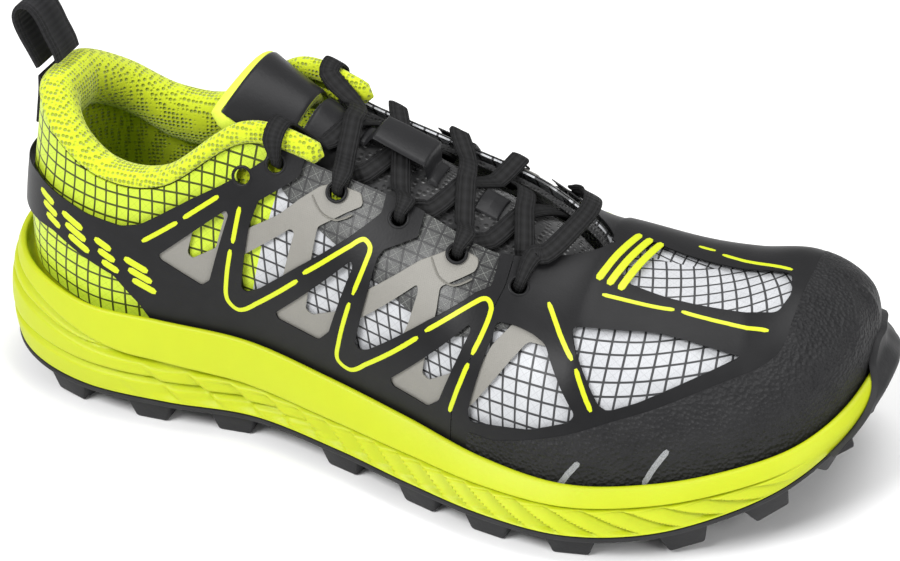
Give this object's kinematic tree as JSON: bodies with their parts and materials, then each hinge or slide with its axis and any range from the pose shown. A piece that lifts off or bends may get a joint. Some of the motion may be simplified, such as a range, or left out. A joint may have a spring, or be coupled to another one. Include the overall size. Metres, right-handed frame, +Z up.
{
  "type": "trail running shoe",
  "caption": "Right trail running shoe with a lugged rubber outsole, foam midsole, layered ripstop upper with film overlays, laced throat, padded tongue and heel pull loop.",
  "frame": {"origin": "middle of the shoe's bounding box, at the level of the lug tips", "axes": "+X from heel to toe, +Y to the medial side of a right shoe, +Z up"},
  "size_m": [0.285, 0.1134, 0.1221],
  "materials": {
    "outsole_rubber": "matt",
    "midsole_foam": "satin",
    "board": "matt",
    "stiffener": "matt",
    "insole_fabric": "matt",
    "lining_black": "matt",
    "lime_mesh": "matt",
    "lime_ripstop": "matt",
    "white_ripstop": "satin",
    "toe_rubber": "pebbled",
    "black_film": "satin",
    "eyestay": "satin",
    "tongue_mesh": "matt",
    "binding": "matt",
    "shield": "satin",
    "keeper": "satin",
    "lace_braid": "woven",
    "aglet": "gloss",
    "webbing": "woven",
    "grey_strap": "satin"
  },
  "bodies": {
    "shoe": {"outsole": "outsole_rubber", "midsole": "midsole_foam", "lasting_board": "board", "heel_counter": "stiffener", "toe_puff": "stiffener", "lining_vamp": "lining_black", "lining_lateral": "lime_mesh", "lining_medial": "lime_mesh", "collar_roll": "lime_mesh", "quarter_lateral": "lime_ripstop", "quarter_medial": "lime_ripstop", "vamp_textile": "white_ripstop", "toe_rand": "toe_rubber", "heel_band": "black_film", "vamp_film": "black_film", "film_lateral": "black_film", "film_medial": "black_film", "eyestay_lateral": "eyestay", "eyestay_medial": "eyestay", "tongue_base": "tongue_mesh", "lace_keeper": "keeper", "tongue_patch": "keeper", "lace": "lace_braid", "aglet_lateral": "aglet", "aglet_medial": "aglet", "loop_anchor": "webbing", "strap_rear_lateral": "grey_strap", "strap_middle_lateral": "grey_strap", "strap_front_lateral": "grey_strap", "strap_toe_lateral": "grey_strap", "strap_rear_medial": "grey_strap", "strap_middle_medial": "grey_strap", "strap_front_medial": "grey_strap", "strap_toe_medial": "grey_strap"},
    "tongue_flap": {"tongue_pad": "lime_mesh", "tongue_shield": "shield", "tongue_binding": "binding"},
    "insole": {"insole": "insole_fabric"},
    "pull_loop": {"pull_loop": "webbing"}
  },
  "joints": [
    {"name": "tongue_flap_fold", "type": "hinge", "parent": "shoe", "child": "tongue_flap", "pos_m": [-0.0361, 0.0057, 0.1005], "axis": [0, 1, 0], "range_deg": [-9, 2], "stiffness_Nm_per_rad": 0.2},
    {"name": "insole_lift", "type": "hinge", "parent": "shoe", "child": "insole", "pos_m": [0.1289, 0.0057, 0.037], "axis": [0, 1, 0], "range_deg": [0, 2.5]},
    {"name": "pull_loop_flex", "type": "hinge", "parent": "shoe", "child": "pull_loop", "pos_m": [-0.1256, 0.0057, 0.1], "axis": [0, 1, 0], "range_deg": [-15, 8], "stiffness_Nm_per_rad": 0.05}
  ]
}
